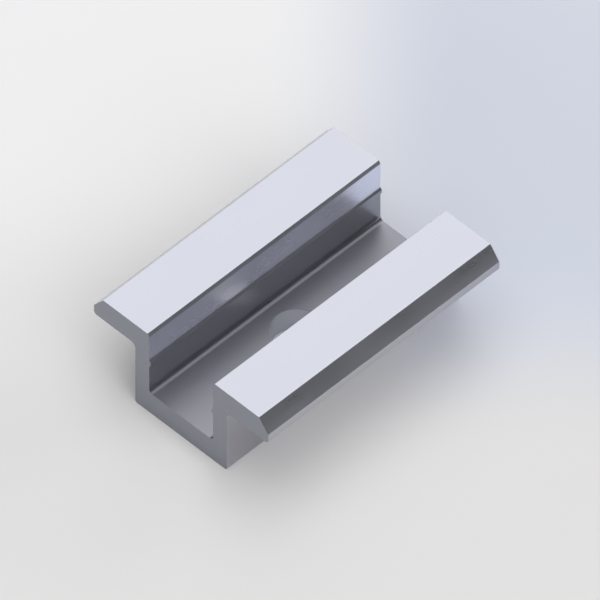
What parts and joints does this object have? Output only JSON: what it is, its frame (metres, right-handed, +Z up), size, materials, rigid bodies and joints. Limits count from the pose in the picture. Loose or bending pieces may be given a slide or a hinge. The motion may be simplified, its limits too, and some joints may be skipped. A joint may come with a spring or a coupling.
{
  "type": "solar mid clamp",
  "caption": "Extruded hat-section clamp body with bevelled wings and a drilled channel that holds two neighbouring solar modules to a rail.",
  "frame": {"origin": "middle of the clamp's underside, on the bolt's axis", "axes": "+X across the wings, +Y along the extrusion, +Z up from the rail towards the screw head"},
  "size_m": [0.0378, 0.05, 0.0178],
  "materials": {
    "aluminium": "smooth satin extruded aluminium, sawn ends"
  },
  "bodies": {
    "root": {"clamp_body": "aluminium"}
  },
  "joints": []
}
